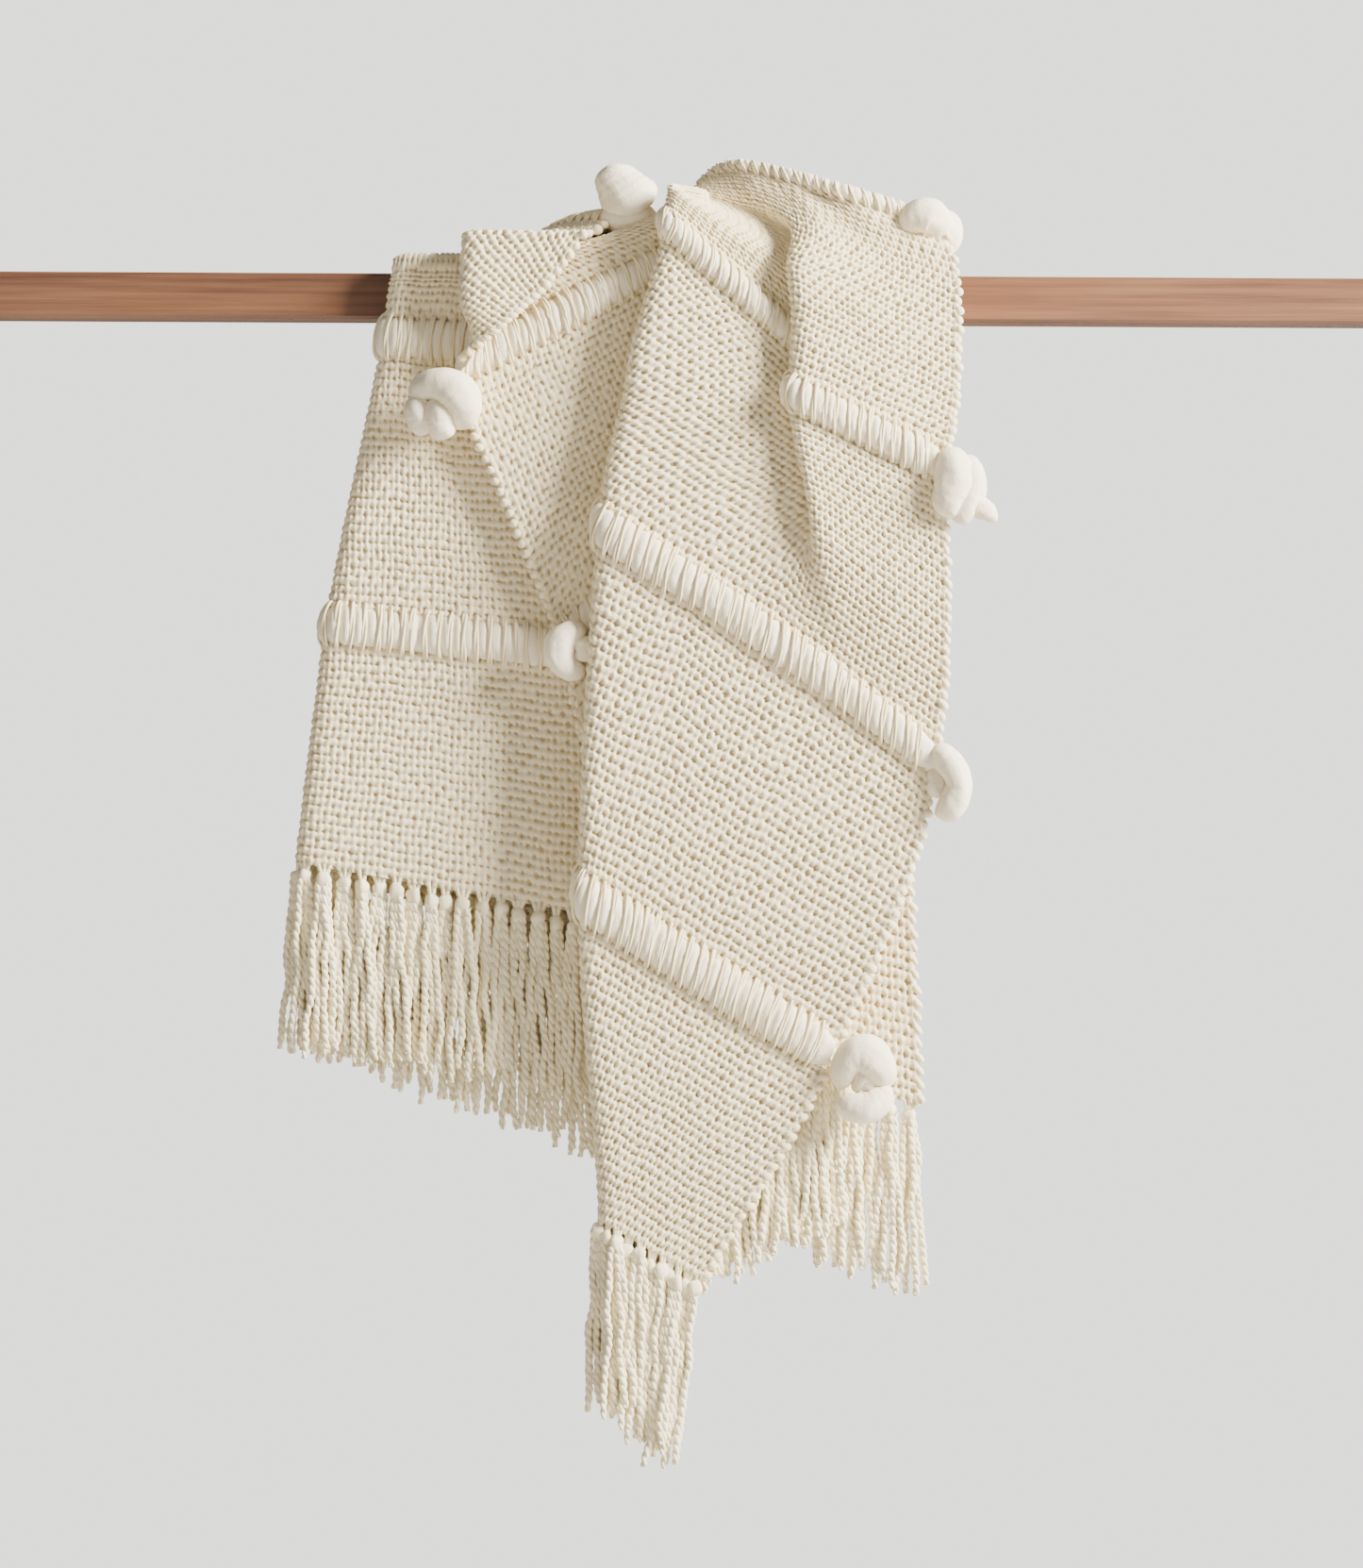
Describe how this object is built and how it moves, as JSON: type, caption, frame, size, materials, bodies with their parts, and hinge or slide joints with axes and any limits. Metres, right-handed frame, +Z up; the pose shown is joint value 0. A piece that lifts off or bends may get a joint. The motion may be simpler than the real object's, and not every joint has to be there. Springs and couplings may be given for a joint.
{
  "type": "woven wall hanging on a rail",
  "caption": "Thick hand-woven wool throw with roving rows, knotted roving ends and fringes, folded and draped over a square wooden rail as a wall hanging.",
  "frame": {"origin": "middle of the bracket seat under the left end of the rail", "axes": "X along the rail to the right, Y towards the wall, Z up"},
  "size_m": [1, 0.1858, 0.8484],
  "materials": {
    "weave": "matt hand-spun wool weave",
    "roving": "matt unspun wool roving",
    "fringe": "matt plied wool yarn",
    "rail_wood": "oiled wood, fine straight grain"
  },
  "bodies": {
    "rail": {"hanging_rail": "rail_wood"},
    "drape": {"fringe_front_behind": "fringe", "fringe_front_under": "fringe", "fringe_left_behind": "fringe", "fringe_left_under": "fringe", "fringe_middle": "fringe", "roving_back_fall": "roving", "roving_back_fall_knot_a": "roving", "roving_back_fall_knot_b": "roving", "roving_back_rise": "roving", "roving_back_rise_knot_a": "roving", "roving_back_rise_knot_b": "roving", "roving_front_high": "roving", "roving_front_high_knot_a": "roving", "roving_front_high_knot_b": "roving", "roving_front_low": "roving", "roving_front_low_knot_a": "roving", "roving_front_low_knot_b": "roving", "roving_front_middle": "roving", "roving_front_middle_knot_a": "roving", "roving_front_middle_knot_b": "roving", "roving_left_high": "roving", "roving_left_high_knot_a": "roving", "roving_left_high_knot_b": "roving", "roving_left_low": "roving", "roving_left_low_knot_a": "roving", "roving_left_low_knot_b": "roving", "roving_rail_top": "roving", "roving_rail_top_knot_a": "roving", "roving_rail_top_knot_b": "roving", "woven_back_fall": "weave", "woven_back_loop": "weave", "woven_front_hem": "weave", "woven_front_lower": "weave", "woven_front_upper": "weave", "woven_left_crossing": "weave", "woven_left_hem": "weave", "woven_left_upper": "weave", "woven_rail_crossing": "weave"},
    "front_fringe": {"fringe_front": "fringe"},
    "left_fringe": {"fringe_left": "fringe"},
    "right_fringe": {"fringe_right": "fringe"}
  },
  "joints": [
    {"name": "drape_slide", "type": "slide", "parent": "rail", "child": "drape", "axis": [1, 0, 0], "range_m": [-0.15, 0.15]},
    {"name": "front_fringe_swing", "type": "hinge", "parent": "drape", "child": "front_fringe", "pos_m": [0.4535, -0.0725, -0.6023], "axis": [-0.8613, 0, 0.508], "range_deg": [0, 25]},
    {"name": "left_fringe_swing", "type": "hinge", "parent": "drape", "child": "left_fringe", "pos_m": [0.307, -0.0365, -0.3698], "axis": [-0.9864, 0, 0.1644], "range_deg": [0, 20]},
    {"name": "right_fringe_swing", "type": "hinge", "parent": "drape", "child": "right_fringe", "pos_m": [0.53, -0.0195, -0.4828], "axis": [0.9381, 0, -0.3463], "range_deg": [0, 20]}
  ]
}
